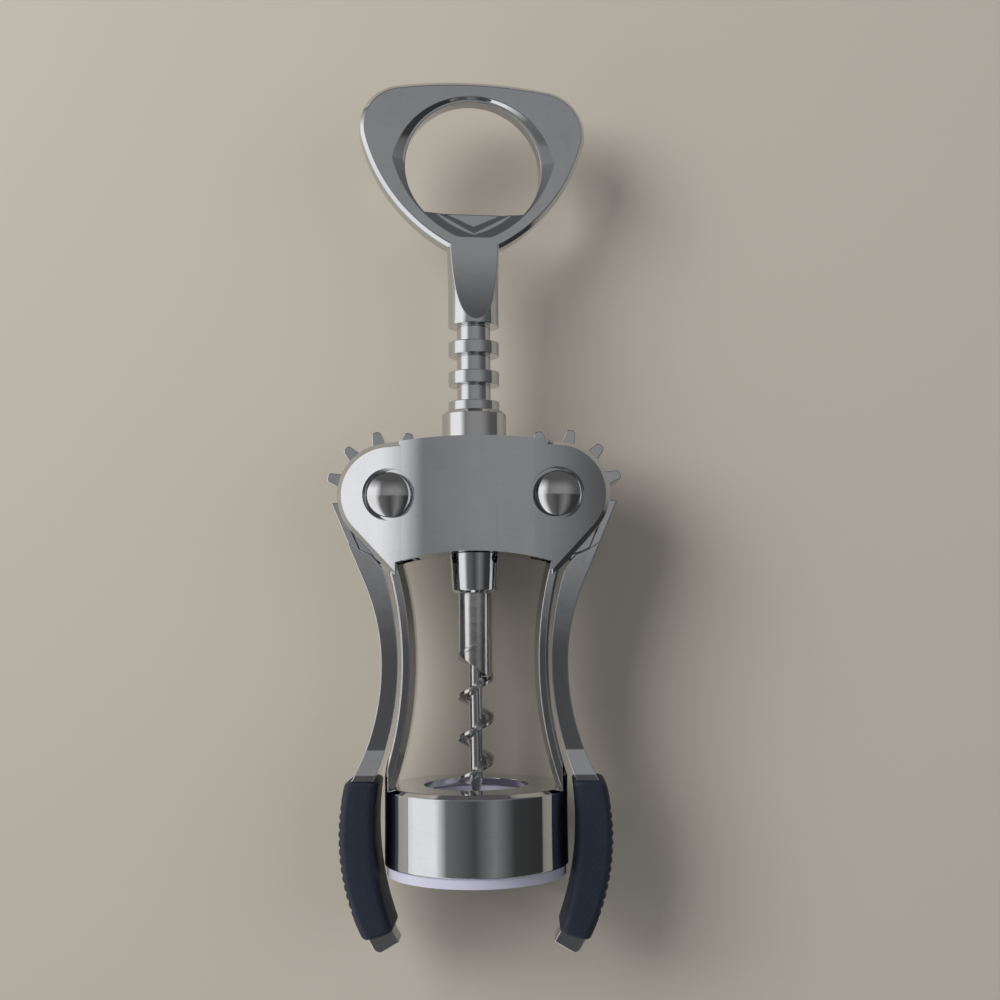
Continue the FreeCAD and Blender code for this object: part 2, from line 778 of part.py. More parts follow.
def grip_blank(inset):
    """Outline of the grip, shrunk by inset all round, as edges in the XZ plane."""
    top = grip_top
    mid = grip_middle_height
    end_in = at(grip_end_inner, grip_end_inner_height)
    end_out = at(grip_end_inner + grip_end_width, grip_end_outer_height)
    top_outer = grip_top_inner + grip_top_width
    middle_outer = grip_middle_inner + grip_middle_width
    along = (end_out - end_in).normalize()
    return [
        arc(at(grip_top_inner + inset, top), at(grip_middle_inner + inset, mid), end_in + along * inset),
        line(end_in + along * inset, end_out - along * inset),
        arc(end_out - along * inset, at(middle_outer - inset, mid), at(top_outer - inset, top)),
        line(at(top_outer - inset, top), at(grip_top_inner + inset, top)),
    ]


def make_toe():
    """Chrome toe that shows below the grip."""
    a = math.radians(toe_angle)
    along = FreeCAD.Vector(math.cos(a), 0, -math.sin(a))
    up = FreeCAD.Vector(math.sin(a), 0, math.cos(a))
    p = at(bell_outer_radius - toe_tuck, toe_bottom)
    q = p + along * toe_width
    block = plate([
        line(p, q), line(q, q + up * toe_length), line(q + up * toe_length, p + up * toe_length),
        line(p + up * toe_length, p),
    ], toe_half_depth)
    lower = [e for e in block.Edges if e.BoundBox.YLength > toe_half_depth
             and e.BoundBox.ZMax < (p + up * toe_length).z - 1.0
             and e.BoundBox.ZMax < (q + up * toe_length).z - 1.0]
    return block.makeFillet(toe_round, lower)


def make_wing():
    core = plate(grip_blank(grip_wall), grip_half_depth - grip_wall)
    root = Part.makeBox(
        wing_outer(grip_top) - wing_inner(grip_top) - 2 * 0.8, 2 * (grip_half_depth - grip_wall), 2.0,
        FreeCAD.Vector(wing_inner(grip_top) + 0.8, -(grip_half_depth - grip_wall), grip_top - 1.0),
    )
    wing = make_gear().fuse([make_wing_arm(), core, root, make_toe()])
    clear = rivet_shank_radius + rivet_running_gap
    bore = cross_pin(pivot_spread, pivot_height, clear, -past, past)
    return wing.cut(bore).removeSplitter()


def make_grip(wing):
    blank = plate(grip_blank(0), grip_half_depth)
    long_edges = []
    for edge in blank.Edges:
        box = edge.BoundBox
        if box.YLength < 0.01 and box.ZLength > 5:
            long_edges.append(edge)
    blank = chamfered_edges(blank, long_edges, grip_edge_chamfer)
    return blank.cut(wing)


def main():
    os.makedirs("parts", exist_ok=True)
    right_wing = make_wing()
    right_grip = make_grip(right_wing)
    pieces = {
        "frame": make_frame(),
        "guide_bush": make_guide_bush(),
        "bell_liner": make_liner(),
        "opener_spindle": make_spindle(),
        "worm": make_worm(),
        "left_wing": mirrored(right_wing),
        "right_wing": right_wing,
        "left_grip": mirrored(right_grip),
        "right_grip": right_grip,
        "left_rivet": make_rivet(-pivot_spread),
        "right_rivet": make_rivet(pivot_spread),
    }
    for name, shape in pieces.items():
        solids = shape.Solids
        if len(solids) == 1:
            shape = solids[0]
        shape.exportStep("parts/" + name + ".step")
        box = shape.BoundBox
        print(name, "solids", len(solids), "valid", shape.isValid(), "volume", round(shape.Volume, 2),
              "x %.2f %.2f y %.2f %.2f z %.2f %.2f" % (
                  box.XMin, box.XMax, box.YMin, box.YMax, box.ZMin, box.ZMax))


main()
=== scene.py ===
import math

import bmesh
import bpy
from mathutils import Matrix, Vector


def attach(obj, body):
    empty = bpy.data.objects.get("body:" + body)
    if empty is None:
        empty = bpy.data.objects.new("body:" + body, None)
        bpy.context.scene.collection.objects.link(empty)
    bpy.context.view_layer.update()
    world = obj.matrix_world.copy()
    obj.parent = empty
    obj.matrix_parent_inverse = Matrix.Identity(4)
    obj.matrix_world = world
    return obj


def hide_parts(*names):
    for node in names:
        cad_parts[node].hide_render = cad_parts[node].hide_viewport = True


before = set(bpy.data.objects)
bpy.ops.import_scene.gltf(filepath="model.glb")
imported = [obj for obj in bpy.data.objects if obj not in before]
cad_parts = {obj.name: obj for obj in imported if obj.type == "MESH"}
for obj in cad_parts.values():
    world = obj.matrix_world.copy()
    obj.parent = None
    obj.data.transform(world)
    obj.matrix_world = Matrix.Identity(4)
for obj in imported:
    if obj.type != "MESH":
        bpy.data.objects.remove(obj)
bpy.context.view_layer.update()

MM = 0.001

# Camera, measured from the photograph: metres, degrees, and pixels of a 1000 pixel frame
CAMERA_PLACE = (0.011306, -0.265754, 0.048587)
CAMERA_PITCH = 5.264
CAMERA_YAW = 1.303
CAMERA_ROLL = -0.468
FOCAL_PIXELS = 1290.0
FRAME_PIXELS = 1000.0
SENSOR_WIDTH = 36.0
CLIP_NEAR = 0.01
CLIP_FAR = 20.0

# Rivets: where they sit, the domed head in front, the shank and the low tail behind
PIVOT_X = 17.097 * MM
PIVOT_Z = 73.8 * MM
RIVET_FLOOR = 5.7 * MM
RIVET_LIFT = 0.01 * MM
RIVET_HEAD_RADIUS = 4.6 * MM
RIVET_HEAD_RIM = 1.0 * MM
RIVET_HEAD_EDGE = 0.15 * MM
RIVET_CROWN_EDGE = 0.04 * MM
RIVET_CROWN_DROP = 0.2 * MM
RIVET_DOME = 1.68 * MM
RIVET_DOME_SHARE = 0.985
RIVET_DOME_RINGS = 16
RIVET_TAIL_RADIUS = 4.0 * MM
RIVET_TAIL_RIM = 0.98 * MM
RIVET_TAIL_STEPS = ((0.0, 0.5), (0.25 * MM, 0.86), (0.8 * MM, 1.0))
RIVET_TAIL_MIDDLE = 0.5 * MM
RIVET_SHANK_RADIUS = 2.5 * MM
RIVET_STEPS = 72

# Grips: inner and outer edge seen from the front, then depth, corners, rounded ends and ribs
GRIP_INNER = ((19.4 * MM, 16.6 * MM), (19.95 * MM, 4.5 * MM), (16.25 * MM, -12.7 * MM))
GRIP_OUTER = ((25.9 * MM, 16.6 * MM), (27.25 * MM, 4.5 * MM), (22.2 * MM, -14.45 * MM))
GRIP_HALF_DEPTH = 6.98 * MM
GRIP_CORNER = 1.7 * MM
GRIP_CORNER_MOST = 0.9
GRIP_CORNER_STEPS = 6
GRIP_RINGS = 180
GRIP_END_ROUND = 1.0 * MM
GRIP_END_SPAN = 31 * MM
GRIP_END_SHRINK = 0.8
RIB_PITCH = 1.75 * MM
RIB_DEPTH = 0.28 * MM
RIB_SPAN = 32.0 * MM
RIB_FROM = 0.12
RIB_TO = 0.86
RIB_FADE = 0.06
RIB_INNERMOST = 0.6

# Rounding that the light sees on the cast and the turned edges
CAST_EDGE = 0.35 * MM
TURNED_EDGE = 0.2 * MM
EDGE_SAMPLES = 8

# Metals: clean and smudged colour, roughness from and to, ripple of the surface, edge rounding
PLATED = {
    "clean": (0.60, 0.61, 0.63), "dull": (0.54, 0.55, 0.57), "rough": (0.035, 0.12),
    "ripple_size": 170.0, "edge": CAST_EDGE,
}
METALS = {
    "plated_yoke": {**PLATED, "ripple": 0.12},
    "plated_casting": {**PLATED, "ripple": 0.14},
    "turned_chrome": {
        "clean": (0.62, 0.62, 0.63), "dull": (0.55, 0.55, 0.56), "rough": (0.06, 0.13),
        "ripple": 0.15, "ripple_size": 420.0, "edge": TURNED_EDGE,
    },
    "worm_steel": {
        "clean": (0.60, 0.59, 0.59), "dull": (0.44, 0.43, 0.43), "rough": (0.14, 0.26),
        "ripple": 0.30, "ripple_size": 600.0, "edge": TURNED_EDGE,
    },
}
METAL_BUMP = 0.1 * MM
YOKE_BOW = 21.5
YOKE_FLOOR = 0.0585

# Plastics
LINER_CLEAN = (0.50, 0.50, 0.62)
LINER_HAZED = (0.43, 0.43, 0.53)
LINER_ROUGH = (0.32, 0.45)
LINER_BUMP = 0.05 * MM
GRIP_CLEAN = (0.017, 0.023, 0.038)
# Paler grip colour for wear and grain specks, and also a painted sheen along the grips' raised edges
GRIP_SHEEN_AND_WEAR = (0.10, 0.12, 0.16)
GRIP_ROUGH = (0.46, 0.64)
GRIP_SHINE = 0.28
GRIP_BUMP = 0.06 * MM
GRIP_SPECKLE = 0.25

# Which material each CAD node wears; the rivets and grips are modelled afresh below
FINISHES = (
    ("frame", "plated_yoke"),
    ("opener_spindle", "plated_casting"),
    ("guide_bush", "turned_chrome"),
    ("left_wing", "plated_casting"),
    ("right_wing", "plated_casting"),
    ("worm", "worm_steel"),
    ("bell_liner", "liner_plastic"),
)

# Board behind the part
PART_REAR = 18.5 * MM
BOARD_DROP = 0.3 * MM
BOARD_REACH = 1.2
BOARD_COLOUR = (0.48, 0.44, 0.385)
BOARD_ROUGH = 0.7
BOARD_SHINE = 0.2

# Room: grey levels by degrees from the camera's side, positive to the right. The low wall gives
# way to the high wall, and that to the ceiling, between two heights of the direction looked in
LOW_WALL = (
    (-130, 0.30), (-80, 0.85), (-50, 0.85), (-35, 0.15),
    (0, 0.06), (25, 0.20), (50, 0.04), (130, 0.02),
)
HIGH_WALL = (
    (-130, 0.50), (-80, 0.90), (-50, 0.90), (-30, 0.20),
    (0, 0.25), (30, 0.25), (60, 0.10), (130, 0.05),
)
WALL_CHANGE = (-0.02, 0.06)
CEILING_CHANGE = (0.35, 0.75)
CEILING_COLOUR = (0.09, 0.09, 0.09)
ROOM_LEVEL = 1.35

# Lamps: name, place, size, power in watts, colour
LAMPS = (
    ("key_light", (-0.55, -0.55, 0.40), 0.55, 6.4, (1.0, 0.99, 0.96)),
    ("fill_light", (0.60, -0.60, 0.10), 0.60, 1.2, (0.93, 0.95, 1.0)),
)
LAMP_AIM = (0.0, 0.0, 0.07)


def side_name(side):
    return "left" if side < 0 else "right"


def clamped(value):
    return max(0.0, min(1.0, value))


def place_camera():
    data = bpy.data.cameras.new("camera")
    data.sensor_width = SENSOR_WIDTH
    data.lens = FOCAL_PIXELS * SENSOR_WIDTH / FRAME_PIXELS
    data.clip_start = CLIP_NEAR
    data.clip_end = CLIP_FAR
    camera = bpy.data.objects.new("camera", data)
    bpy.context.scene.collection.objects.link(camera)
    pitch = math.radians(CAMERA_PITCH)
    yaw = math.radians(-CAMERA_YAW)
    roll = math.radians(CAMERA_ROLL)
    ahead = Vector((
        math.sin(yaw) * math.cos(pitch),
        math.cos(yaw) * math.cos(pitch),
        math.sin(pitch),
    ))
    level = Vector((math.cos(yaw), -math.sin(yaw), 0.0))
    upright = level.cross(ahead)
    right = math.cos(roll) * level + math.sin(roll) * upright
    up = -math.sin(roll) * level + math.cos(roll) * upright
    turn = Matrix((
        (right.x, up.x, -ahead.x),
        (right.y, up.y, -ahead.y),
        (right.z, up.z, -ahead.z),
    ))
    camera.matrix_world = Matrix.Translation(CAMERA_PLACE) @ turn.to_4x4()
    bpy.context.scene.camera = camera


def circle_through(a, b, c):
    """Centre and radius of the circle through three points of a plane."""
    d = 2 * (a[0] * (b[1] - c[1]) + b[0] * (c[1] - a[1]) + c[0] * (a[1] - b[1]))
    aa = a[0] ** 2 + a[1] ** 2
    bb = b[0] ** 2 + b[1] ** 2
    cc = c[0] ** 2 + c[1] ** 2
    x = (aa * (b[1] - c[1]) + bb * (c[1] - a[1]) + cc * (a[1] - b[1])) / d
    y = (aa * (c[0] - b[0]) + bb * (a[0] - c[0]) + cc * (b[0] - a[0])) / d
    return (x, y), math.hypot(a[0] - x, a[1] - y)


def along_arc(points, share):
    """Point at a share of the way along the arc through three points."""
    first, _, last = points
    centre, radius = circle_through(*points)
    start = math.atan2(first[1] - centre[1], first[0] - centre[0])
    end = math.atan2(last[1] - centre[1], last[0] - centre[0])
    angle = start + math.remainder(end - start, 2 * math.pi) * share
    return (centre[0] + radius * math.cos(angle), centre[1] + radius * math.sin(angle))


def add_piece(name, rings, body, node, material):
    """Smooth piece skinned over rings, which rides on a body and stands for a node."""
    builder = skin_rings(rings)
    mesh = bpy.data.meshes.new(name)
    builder.to_mesh(mesh)
    builder.free()
    for face in mesh.polygons:
        face.use_smooth = True
    piece = bpy.data.objects.new(name, mesh)
    bpy.context.scene.collection.objects.link(piece)
    piece.data.materials.append(material)
    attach(piece, body)
    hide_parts(node)


def skin_rings(rings):
    """Quads between rings of points, with a fan over each end."""
    builder = bmesh.new()
    loops = [[builder.verts.new(p) for p in ring] for ring in rings]
    count = len(rings[0])
    for low, high in zip(loops, loops[1:]):
        for k in range(count):
            after = (k + 1) % count
            builder.faces.new((low[k], low[after], high[after], high[k]))
    for loop in (loops[0], loops[-1]):
        hub = builder.verts.new(sum((v.co for v in loop), Vector()) / count)
        for k in range(count):
            builder.faces.new((loop[k], loop[(k + 1) % count], hub))
    bmesh.ops.recalc_face_normals(builder, faces=builder.faces)
    return builder


def rivet_profile():
    """Radius and depth of the rivet's outline, from the crest of its dome to its tail."""
    crest = RIVET_FLOOR + RIVET_HEAD_RIM + RIVET_DOME
    dome = (RIVET_HEAD_RADIUS ** 2 + RIVET_DOME ** 2) / (2 * RIVET_DOME)
    profile = []
    for k in range(1, RIVET_DOME_RINGS + 1):
        quarter = math.pi / 2 * k / (RIVET_DOME_RINGS + 1)
        r = RIVET_HEAD_RADIUS * math.sin(quarter) * RIVET_DOME_SHARE
        profile.append((r, -crest + dome - math.sqrt(dome ** 2 - r ** 2)))
    rim = -RIVET_FLOOR - RIVET_HEAD_RIM
    profile += [
        (RIVET_HEAD_RADIUS - RIVET_CROWN_EDGE, rim + RIVET_CROWN_EDGE),
        (RIVET_HEAD_RADIUS, rim + RIVET_CROWN_DROP),
        (RIVET_HEAD_RADIUS, -RIVET_FLOOR - RIVET_HEAD_EDGE),
        (RIVET_HEAD_RADIUS - RIVET_HEAD_EDGE, -RIVET_FLOOR - RIVET_LIFT),
        (RIVET_SHANK_RADIUS, -RIVET_FLOOR - RIVET_LIFT),
        (RIVET_SHANK_RADIUS, RIVET_FLOOR + RIVET_LIFT),
        (RIVET_TAIL_RADIUS, RIVET_FLOOR + RIVET_LIFT),
    ]
    for inset, share in RIVET_TAIL_STEPS:
        profile.append((RIVET_TAIL_RADIUS - inset, RIVET_FLOOR + RIVET_TAIL_RIM * share))
    profile.append((RIVET_TAIL_MIDDLE, RIVET_FLOOR + RIVET_TAIL_RIM))
    return profile


def make_rivet(side, material):
    """Domed rivet head in front, shank, and a low peened tail behind."""
    rings = []
    for r, y in rivet_profile():
        ring = []
        for k in range(RIVET_STEPS):
            a = 2 * math.pi * k / RIVET_STEPS
            ring.append((side * PIVOT_X + r * math.cos(a), y, PIVOT_Z + r * math.sin(a)))
        rings.append(ring)
    name = side_name(side)
    add_piece(name + "_rivet_dome", rings, "frame", name + "_rivet", material)


def rib_groove(share):
    """Depth of the ribbing at a share of the way down the grip, fading out near its ends."""
    fade = clamped(min(share - RIB_FROM, RIB_TO - share) / RIB_FADE)
    wave = 0.5 - 0.5 * math.cos(2 * math.pi * share * RIB_SPAN / RIB_PITCH)
    return RIB_DEPTH * fade * wave ** 2


def grip_section(inner, outer, shrink, groove):
    """Rounded rectangle across the grip, from its inner edge to its ribbed outer edge."""
    half_width = (Vector(outer) - Vector(inner)).length / 2 - shrink
    half_depth = GRIP_HALF_DEPTH - shrink
    middle = ((inner[0] + outer[0]) / 2, (inner[1] + outer[1]) / 2)
    out = (Vector(outer) - Vector(inner)).normalized()
    corner = min(GRIP_CORNER, half_width * GRIP_CORNER_MOST)
    points = []
    for quarter, (sx, sy) in enumerate(((1, -1), (1, 1), (-1, 1), (-1, -1))):
        for k in range(GRIP_CORNER_STEPS + 1):
            a = math.pi / 2 * (quarter - 1 + k / GRIP_CORNER_STEPS)
            u = sx * (half_width - corner) + corner * math.cos(a)
            v = sy * (half_depth - corner) + corner * math.sin(a)
            u -= groove * clamped((u / half_width - RIB_INNERMOST) / (1 - RIB_INNERMOST))
            points.append((middle[0] + out.x * u, v, middle[1] + out.y * u))
    return points


def make_grip(side, material):
    """Bowed, soft-cornered grip that widens in its middle."""
    rings = []
    for k in range(GRIP_RINGS + 1):
        share = k / GRIP_RINGS
        tuck = max(0.0, GRIP_END_ROUND - min(share, 1 - share) * GRIP_END_SPAN)
        shrink = GRIP_END_ROUND - math.sqrt(max(0.0, GRIP_END_ROUND ** 2 - tuck ** 2))
        ring = grip_section(along_arc(GRIP_INNER, share), along_arc(GRIP_OUTER, share),
                            shrink * GRIP_END_SHRINK, rib_groove(share))
        rings.append([(side * x, y, z) for x, y, z in ring])
    name = side_name(side)
    add_piece(name + "_grip_cover", rings, name + "_wing", name + "_grip", material)


def new_effect(name, inputs, outputs, output_type="NodeSocketFloat"):
    """A shader node group with named inputs, each with its default, and named outputs."""
    tree = bpy.data.node_groups.new(name, "ShaderNodeTree")
    for label, value in inputs:
        socket = tree.interface.new_socket(label, in_out="INPUT", socket_type="NodeSocketFloat")
        socket.default_value = value
    for label in outputs:
        tree.interface.new_socket(label, in_out="OUTPUT", socket_type=output_type)
    start = tree.nodes.new("NodeGroupInput")
    end = tree.nodes.new("NodeGroupOutput")
    return tree, start, end


def feed(tree, value, socket):
    """Gives a socket a number, or links another socket to it."""
    if isinstance(value, (int, float)):
        socket.default_value = value
    else:
        tree.links.new(value, socket)


def math_node(tree, operation, first, second=None, clamp=False):
    node = tree.nodes.new("ShaderNodeMath")
    node.operation = operation
    node.use_clamp = clamp
    feed(tree, first, node.inputs[0])
    if second is not None:
        feed(tree, second, node.inputs[1])
    return node.outputs[0]


def over_threshold(tree, value, threshold, gain):
    """Mask that rises from 0 where a value passes a threshold."""
    return math_node(tree, "MULTIPLY", math_node(tree, "SUBTRACT", value, threshold), gain, True)


def scaled_to(tree, value, amount, socket):
    tree.links.new(math_node(tree, "MULTIPLY", value, amount), socket)


def noise_over(tree, scale, detail, stretch=(1, 1, 1), roughness=0.5):
    place = tree.nodes.new("ShaderNodeTexCoord")
    spread = tree.nodes.new("ShaderNodeMapping")
    spread.inputs["Scale"].default_value = stretch
    tree.links.new(place.outputs["Object"], spread.inputs["Vector"])
    noise = tree.nodes.new("ShaderNodeTexNoise")
    tree.links.new(spread.outputs["Vector"], noise.inputs["Vector"])
    feed(tree, scale, noise.inputs["Scale"])
    noise.inputs["Detail"].default_value = detail
    noise.inputs["Roughness"].default_value = roughness
    return noise.outputs["Fac"]


def casting_ripple():
    """Slow waves of a cast or turned surface under its plating."""
    inputs = (("Size", 260.0), ("Depth", 1.0))
    tree, start, end = new_effect("casting_ripple", inputs, ("Height",))
    broad = noise_over(tree, start.outputs["Size"], 2.0)
    scaled_to(tree, broad, start.outputs["Depth"], end.inputs["Height"])
    return tree


def polishing_hairlines():
    """Fine scratches down and across, as polishing and wiping leave them."""
    inputs = (("Fineness", 900.0), ("Amount", 1.0))
    tree, start, end = new_effect("polishing_hairlines", inputs, ("Marks",))
    down = noise_over(tree, start.outputs["Fineness"], 3.0, (1.0, 1.0, 0.03))
    across = noise_over(tree, start.outputs["Fineness"], 3.0, (0.05, 1.0, 1.0))
    sharp = over_threshold(tree, math_node(tree, "MAXIMUM", down, across), 0.56, 5.0)
    scaled_to(tree, sharp, start.outputs["Amount"], end.inputs["Marks"])
    return tree


def handling_smudge():
    """Cloudy patches that hands leave."""
    inputs = (("Size", 90.0), ("Amount", 1.0))
    tree, start, end = new_effect("handling_smudge", inputs, ("Smudge",))
    cloud = noise_over(tree, start.outputs["Size"], 5.0, roughness=0.62)
    patch = over_threshold(tree, cloud, 0.42, 3.0)
    scaled_to(tree, patch, start.outputs["Amount"], end.inputs["Smudge"])
    return tree


def moulded_grain():
    """Fine grain of moulded plastic, and the pale specks on its tops."""
    inputs = (("Fineness", 4200.0), ("Depth", 1.0))
    tree, start, end = new_effect("moulded_grain", inputs, ("Height", "Speckle"))
    grain = noise_over(tree, start.outputs["Fineness"], 2.0)
    scaled_to(tree, grain, start.outputs["Depth"], end.inputs["Height"])
    tree.links.new(over_threshold(tree, grain, 0.6, 6.0), end.inputs["Speckle"])
    return tree


def edge_sheen_and_wear():
    """Pale mask along raised edges, broken by noise: wear together with a painted edge highlight."""
    inputs = (("Sharpness", 9.0), ("Amount", 1.0))
    tree, start, end = new_effect("edge_sheen_and_wear", inputs, ("SheenAndWear",))
    shape = tree.nodes.new("ShaderNodeNewGeometry")
    # Raised edges turn paler: painted edge highlight together with wear
    edge_sheen_and_wear_mask = over_threshold(tree, shape.outputs["Pointiness"], 0.52, start.outputs["Sharpness"])
    broken = math_node(tree, "MULTIPLY", edge_sheen_and_wear_mask, noise_over(tree, 700.0, 4.0))
    scaled_to(tree, broken, start.outputs["Amount"], end.inputs["SheenAndWear"])
    return tree


def bowed_face():
    """Tilts the shading normal of the yoke's flat front and back faces above a given height, more the
    further out from the middle, so that they shade as if curving on evenly from the crown out over the
    ears.
    """
    inputs = (("Bow", 20.0), ("Floor", 0.05))
    tree, start, end = new_effect("bowed_face", inputs, ("Normal",), "NodeSocketVector")
    tree.interface.new_socket("Surface", in_out="INPUT", socket_type="NodeSocketVector")
    place = tree.nodes.new("ShaderNodeTexCoord")
    spot = tree.nodes.new("ShaderNodeSeparateXYZ")
    tree.links.new(place.outputs["Object"], spot.inputs["Vector"])
    shape = tree.nodes.new("ShaderNodeNewGeometry")
    facing = tree.nodes.new("ShaderNodeSeparateXYZ")
    tree.links.new(shape.outputs["Normal"], facing.inputs["Vector"])
    flat = math_node(tree, "GREATER_THAN", math_node(tree, "ABSOLUTE", facing.outputs["Y"]), 0.9)
    above = math_node(tree, "GREATER_THAN", spot.outputs["Z"], start.outputs["Floor"])
    leaning = tree.nodes.new("ShaderNodeCombineXYZ")
    scaled_to(tree, spot.outputs["X"], start.outputs["Bow"], leaning.inputs["X"])
    tree.links.new(facing.outputs["Y"], leaning.inputs["Y"])
    choice = tree.nodes.new("ShaderNodeMix")
    choice.data_type = "VECTOR"
    scaled_to(tree, flat, above, choice.inputs["Factor"])
    tree.links.new(start.outputs["Surface"], choice.inputs["A"])
    tree.links.new(leaning.outputs["Vector"], choice.inputs["B"])
    unit = tree.nodes.new("ShaderNodeVectorMath")
    unit.operation = "NORMALIZE"
    tree.links.new(choice.outputs["Result"], unit.inputs[0])
    tree.links.new(unit.outputs["Vector"], end.inputs["Normal"])
    return tree


def placed(tree, effect, **values):
    """Puts an effect into a material, with its own values."""
    node = tree.nodes.new("ShaderNodeGroup")
    node.node_tree = effect
    for label, value in values.items():
        node.inputs[label].default_value = value
    return node


def blend_colours(tree, share, first, second):
    """Mixes two colours, each given as red, green and blue or as a socket."""
    mix = tree.nodes.new("ShaderNodeMix")
    mix.data_type = "RGBA"
    tree.links.new(share, mix.inputs["Factor"])
    for colour, socket in ((first, mix.inputs["A"]), (second, mix.inputs["B"])):
        if isinstance(colour, tuple):
            socket.default_value = (*colour, 1.0)
        else:
            tree.links.new(colour, socket)
    return mix.outputs["Result"]


def map_range(tree, value, before=(0.0, 1.0), after=(0.0, 1.0)):
    """Maps one span of values to another, and holds the ends."""
    span = tree.nodes.new("ShaderNodeMapRange")
    tree.links.new(value, span.inputs["Value"])
    span.inputs["From Min"].default_value, span.inputs["From Max"].default_value = before
    span.inputs["To Min"].default_value, span.inputs["To Max"].default_value = after
    return span.outputs["Result"]


def raise_surface(tree, shader, height, strength, distance, base=None):
    """Gives a shader's normal a bump, over another normal where there is one."""
    bump = tree.nodes.new("ShaderNodeBump")
    bump.inputs["Strength"].default_value = strength
    bump.inputs["Distance"].default_value = distance
    tree.links.new(height, bump.inputs["Height"])
    if base is not None:
        tree.links.new(base, bump.inputs["Normal"])
    tree.links.new(bump.outputs["Normal"], shader.inputs["Normal"])


def fresh_material(name):
    material = bpy.data.materials.new(name)
    material.use_nodes = True
    tree = material.node_tree
    return material, tree, tree.nodes["Principled BSDF"]


def metal(name, effects, bowed=False):
    """Plated or bare metal: clean colour with duller smudges, hairlines and a slight ripple."""
    look = METALS[name]
    material, tree, shader = fresh_material(name)
    shader.inputs["Metallic"].default_value = 1.0
    smudge = placed(tree, effects["handling_smudge"], Size=85.0, Amount=0.6)
    lines = placed(tree, effects["polishing_hairlines"], Fineness=850.0, Amount=0.4)
    both = math_node(tree, "ADD", smudge.outputs["Smudge"], lines.outputs["Marks"], True)
    tree.links.new(blend_colours(tree, both, look["clean"], look["dull"]), shader.inputs["Base Color"])
    tree.links.new(map_range(tree, both, after=look["rough"]), shader.inputs["Roughness"])
    wave = placed(tree, effects["casting_ripple"], Size=look["ripple_size"], Depth=1.0)
    rounding = tree.nodes.new("ShaderNodeBevel")
    rounding.samples = EDGE_SAMPLES
    rounding.inputs["Radius"].default_value = look["edge"]
    base = rounding.outputs["Normal"]
    if bowed:
        bow = placed(tree, effects["bowed_face"], Bow=YOKE_BOW, Floor=YOKE_FLOOR)
        tree.links.new(base, bow.inputs["Surface"])
        base = bow.outputs["Normal"]
    raise_surface(tree, shader, wave.outputs["Height"], look["ripple"], METAL_BUMP, base)
    return material


def liner_plastic(effects):
    """Pale, slightly hazed plastic of the bell's liner."""
    material, tree, shader = fresh_material("liner_plastic")
    haze = placed(tree, effects["handling_smudge"], Size=140.0, Amount=0.6).outputs["Smudge"]
    tree.links.new(blend_colours(tree, haze, LINER_CLEAN, LINER_HAZED), shader.inputs["Base Color"])
    tree.links.new(map_range(tree, haze, after=LINER_ROUGH), shader.inputs["Roughness"])
    grain = placed(tree, effects["moulded_grain"], Fineness=3000.0, Depth=1.0)
    raise_surface(tree, shader, grain.outputs["Height"], 0.15, LINER_BUMP)
    return material


def grip_plastic(effects):
    """Dark, soft plastic of the grips, paler where it is worn and along its raised edges, where a sheen
    is painted in.
    """
    material, tree, shader = fresh_material("grip_plastic")
    shader.inputs["Specular IOR Level"].default_value = GRIP_SHINE
    grain = placed(tree, effects["moulded_grain"], Fineness=4200.0, Depth=1.0)
    # Painted sheen together with wear along the grips' raised edges
    sheen_and_wear = placed(tree, effects["edge_sheen_and_wear"], Sharpness=9.0, Amount=0.7)
    dust = placed(tree, effects["handling_smudge"], Size=220.0, Amount=0.5)
    specks = math_node(tree, "MULTIPLY", grain.outputs["Speckle"], GRIP_SPECKLE)
    # Paler at the painted edge sheen and wear, and at the grain's specks
    pale = math_node(tree, "ADD", sheen_and_wear.outputs["SheenAndWear"], specks, True)
    tree.links.new(blend_colours(tree, pale, GRIP_CLEAN, GRIP_SHEEN_AND_WEAR), shader.inputs["Base Color"])
    tree.links.new(map_range(tree, dust.outputs["Smudge"], after=GRIP_ROUGH), shader.inputs["Roughness"])
    raise_surface(tree, shader, grain.outputs["Height"], 0.35, GRIP_BUMP)
    return material


def make_materials():
    """Every material of the part by its name, built from the shared effects."""
    makers = (casting_ripple, polishing_hairlines, handling_smudge, moulded_grain, edge_sheen_and_wear, bowed_face)
    effects = {maker.__name__: maker() for maker in makers}
    made = {name: metal(name, effects, bowed=(name == "plated_yoke")) for name in METALS}
    made["liner_plastic"] = liner_plastic(effects)
    made["grip_plastic"] = grip_plastic(effects)
    return made


def dress_node(name, material):
    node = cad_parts[name]
    for slot in node.material_slots:
        slot.link = "OBJECT"
        slot.material = material


def grey_wall(tree, share, stops):
    """Grey levels round the room, from stops of degrees and level; the camera's side is 0.5."""
    ramp = tree.nodes.new("ShaderNodeValToRGB")
    tree.links.new(share, ramp.inputs["Fac"])
    elements = ramp.color_ramp.elements
    while len(elements) < len(stops):
        elements.new(0.5)
    for element, (degrees, level) in zip(elements, stops):
        element.position = 0.5 + degrees / 360.0
        element.color = (level, level, level, 1.0)
    return ramp.outputs["Color"]


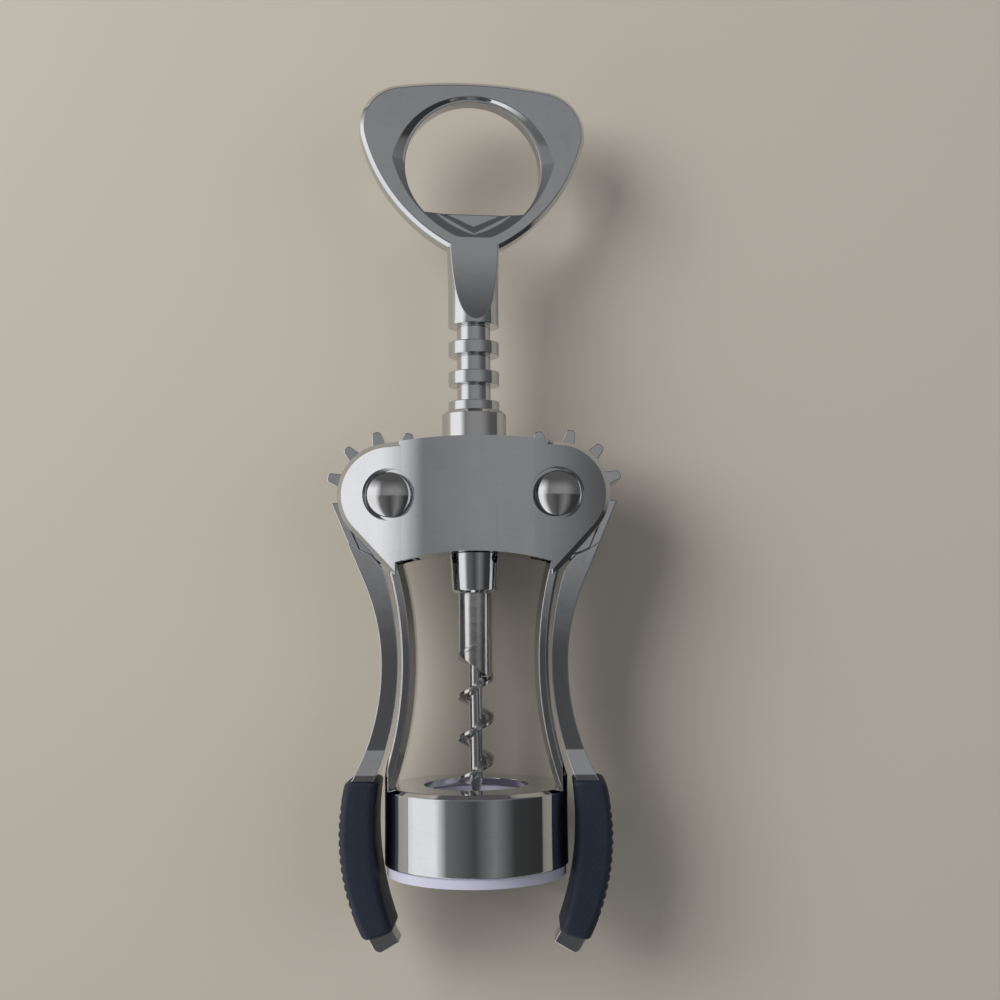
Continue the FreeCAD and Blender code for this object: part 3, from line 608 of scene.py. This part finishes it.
def make_room():
    """World: a plain grey studio with one large soft box on the left and a dim side on the right."""
    world = bpy.data.worlds.new("room")
    bpy.context.scene.world = world
    world.use_nodes = True
    tree = world.node_tree
    shader = tree.nodes["Background"]
    place = tree.nodes.new("ShaderNodeTexCoord")
    split = tree.nodes.new("ShaderNodeSeparateXYZ")
    tree.links.new(place.outputs["Generated"], split.inputs["Vector"])
    ahead = math_node(tree, "MULTIPLY", split.outputs["Y"], -1.0)
    turn = math_node(tree, "ARCTAN2", split.outputs["X"], ahead)
    share = math_node(tree, "ADD", math_node(tree, "DIVIDE", turn, 2 * math.pi), 0.5)
    low = grey_wall(tree, share, LOW_WALL)
    high = grey_wall(tree, share, HIGH_WALL)
    walls = blend_colours(tree, map_range(tree, split.outputs["Z"], WALL_CHANGE), low, high)
    overhead = map_range(tree, split.outputs["Z"], CEILING_CHANGE)
    tree.links.new(blend_colours(tree, overhead, walls, CEILING_COLOUR), shader.inputs["Color"])
    shader.inputs["Strength"].default_value = ROOM_LEVEL


def make_board():
    """Pale board that the object lies on; open when looked at from behind."""
    y = PART_REAR + BOARD_DROP
    corners = ((-1, -1), (1, -1), (1, 1), (-1, 1))
    mesh = bpy.data.meshes.new("board")
    mesh.from_pydata([(BOARD_REACH * x, y, BOARD_REACH * z) for x, z in corners], [], [(0, 1, 2, 3)])
    board = bpy.data.objects.new("board", mesh)
    bpy.context.scene.collection.objects.link(board)
    material, tree, shader = fresh_material("pale_board")
    shader.inputs["Base Color"].default_value = (*BOARD_COLOUR, 1.0)
    shader.inputs["Roughness"].default_value = BOARD_ROUGH
    shader.inputs["Specular IOR Level"].default_value = BOARD_SHINE
    shape = tree.nodes.new("ShaderNodeNewGeometry")
    clear = tree.nodes.new("ShaderNodeBsdfTransparent")
    either = tree.nodes.new("ShaderNodeMixShader")
    tree.links.new(shape.outputs["Backfacing"], either.inputs["Fac"])
    tree.links.new(shader.outputs["BSDF"], either.inputs[1])
    tree.links.new(clear.outputs["BSDF"], either.inputs[2])
    tree.links.new(either.outputs["Shader"], tree.nodes["Material Output"].inputs["Surface"])
    board.data.materials.append(material)


def add_lamp(name, place, size, power, colour):
    """Square lamp turned to the middle of the part, kept out of mirror images."""
    data = bpy.data.lights.new(name, "AREA")
    data.shape = "SQUARE"
    data.size = size
    data.energy = power
    data.color = colour
    lamp = bpy.data.objects.new(name, data)
    bpy.context.scene.collection.objects.link(lamp)
    turn = (Vector(LAMP_AIM) - Vector(place)).to_track_quat("-Z", "Y")
    lamp.matrix_world = Matrix.Translation(place) @ turn.to_matrix().to_4x4()
    lamp.visible_glossy = False


place_camera()
materials = make_materials()
for node_name, material_name in FINISHES:
    dress_node(node_name, materials[material_name])
for side in (-1, 1):
    make_rivet(side, materials["turned_chrome"])
    make_grip(side, materials["grip_plastic"])
make_room()
make_board()
for lamp in LAMPS:
    add_lamp(*lamp)
bpy.context.scene.view_settings.view_transform = "Standard"
